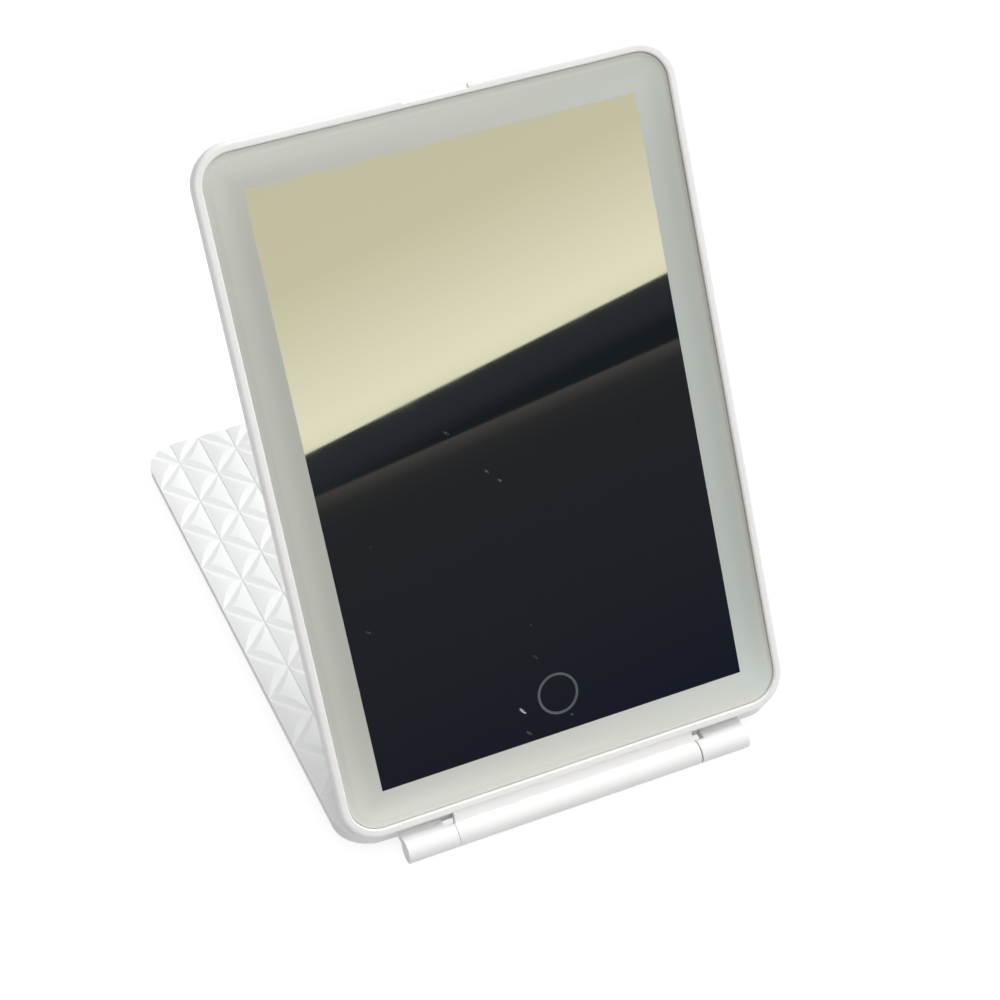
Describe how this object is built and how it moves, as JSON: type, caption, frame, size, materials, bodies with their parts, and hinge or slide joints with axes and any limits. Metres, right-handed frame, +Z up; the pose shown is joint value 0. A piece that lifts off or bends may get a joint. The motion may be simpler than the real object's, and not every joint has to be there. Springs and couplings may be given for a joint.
{
  "type": "lighted makeup mirror",
  "caption": "Folding tabletop makeup mirror with a light border and a touch switch; its embossed cover opens on a barrel hinge to become the base.",
  "frame": {"origin": "on the table, under the middle of the bounding box of the open mirror", "axes": "+X along the hinge to the viewer's right, +Y from the hinge to the cover's far edge, +Z up"},
  "size_m": [0.145, 0.2184, 0.1981],
  "materials": {
    "white_plastic": "satin white moulded plastic",
    "pane": "polished clear, with a ground border",
    "silver": "silvered",
    "touch_film": "translucent film",
    "diffuser": "milky",
    "adhesive": "adhesive film",
    "inner_white": "smooth white",
    "circuit_white": "white solder mask",
    "ribbon": "amber film",
    "emitter": "yellow phosphor",
    "circuit_green": "green solder mask",
    "chip": "black moulding",
    "steel": "bright",
    "foam": "conductive foam",
    "light_pipe": "clear",
    "cell_foil": "foil pouch",
    "plug_white": "white moulding",
    "lead": "insulated",
    "magnet": "nickel plated",
    "bronze": "turned",
    "soft_pad": "soft white"
  },
  "bodies": {
    "panel": {"panel_frame": "white_plastic", "panel_back": "white_plastic", "mirror_glass": "pane", "silver_coating": "silver", "touch_window": "touch_film", "light_diffuser": "diffuser", "glass_tape": "adhesive", "battery_pad": "adhesive", "led_tray": "inner_white", "led_strip_top": "circuit_white", "led_strip_bottom": "circuit_white", "led_strip_left": "circuit_white", "led_strip_right": "circuit_white", "led_ribbon": "ribbon", "leds": "emitter", "control_board": "circuit_green", "board_chips": "chip", "board_screws": "steel", "touch_pad": "foam", "usb_socket": "steel", "charge_light": "light_pipe", "battery": "cell_foil", "battery_plug": "plug_white", "battery_leads": "lead", "panel_magnets": "magnet", "friction_sleeve_left": "bronze", "friction_sleeve_right": "bronze"},
    "cover": {"cover_shell": "white_plastic", "cover_liner": "inner_white", "liner_tape": "adhesive", "cover_magnets": "magnet", "foot_pads": "soft_pad", "hinge_pin_left": "steel", "hinge_pin_right": "steel", "knuckle_cap_left": "white_plastic", "knuckle_cap_right": "white_plastic"}
  },
  "joints": [
    {"name": "cover_fold", "type": "hinge", "parent": "panel", "child": "cover", "pos_m": [0, -0.10557, 0.0036], "axis": [-1, 0, 0], "range_deg": [0, 294]}
  ]
}
